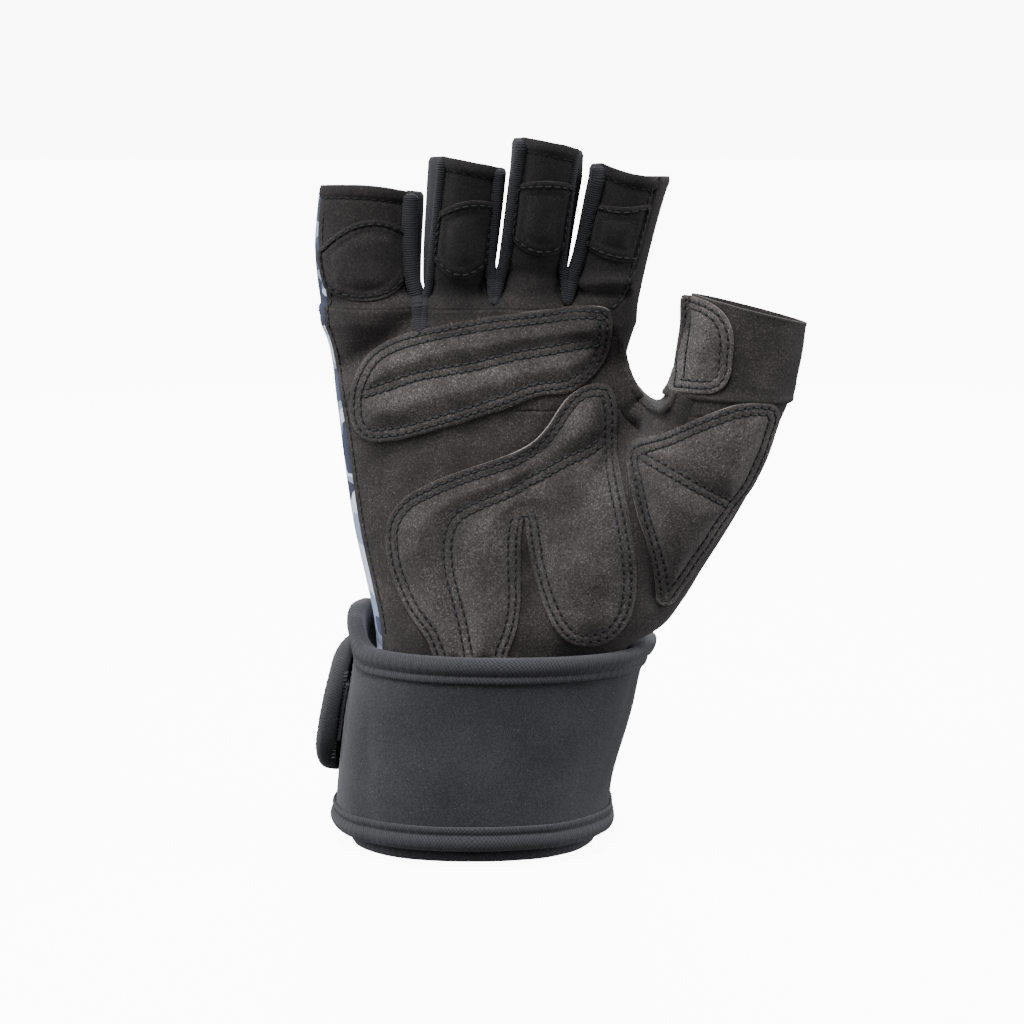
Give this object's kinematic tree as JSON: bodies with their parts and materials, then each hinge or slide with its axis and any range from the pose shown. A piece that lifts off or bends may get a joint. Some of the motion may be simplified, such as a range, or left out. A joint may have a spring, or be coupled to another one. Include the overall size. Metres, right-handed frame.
{
  "type": "weightlifting glove",
  "caption": "Half-finger training glove for the right hand with padded suede palm, ribbed finger sides and a wrist wrap closed by a hook tab.",
  "frame": {"origin": "centre of the wrist opening at the cuff's lower edge", "axes": "+Z along the fingers, -Y out of the palm, +X towards the thumb"},
  "size_m": [0.1433, 0.0677, 0.2098],
  "materials": {
    "suede": "matte",
    "suede_pad": "matte",
    "printed_fabric": "matte",
    "ribbed_knit": "matte",
    "neoprene": "matte",
    "binding": "matte",
    "hook_tape": "matte"
  },
  "bodies": {
    "root": {"palm_panel": "suede", "back_panel": "printed_fabric", "fourchette_little_ring": "ribbed_knit", "fourchette_ring_middle": "ribbed_knit", "fourchette_middle_index": "ribbed_knit", "index_gusset": "suede", "thumb_sleeve": "suede", "upper_palm_pad": "suede_pad", "heel_pad": "suede_pad", "thumb_pad": "suede_pad", "thumb_tab": "suede_pad", "finger_patch_little": "suede_pad", "finger_patch_ring": "suede_pad", "finger_patch_middle": "suede_pad", "finger_patch_index": "suede_pad", "wrist_cuff": "neoprene", "cuff_binding": "binding", "wrist_wrap": "neoprene", "wrap_binding_top": "binding", "wrap_binding_bottom": "binding", "hook_patch": "hook_tape"}
  },
  "joints": []
}
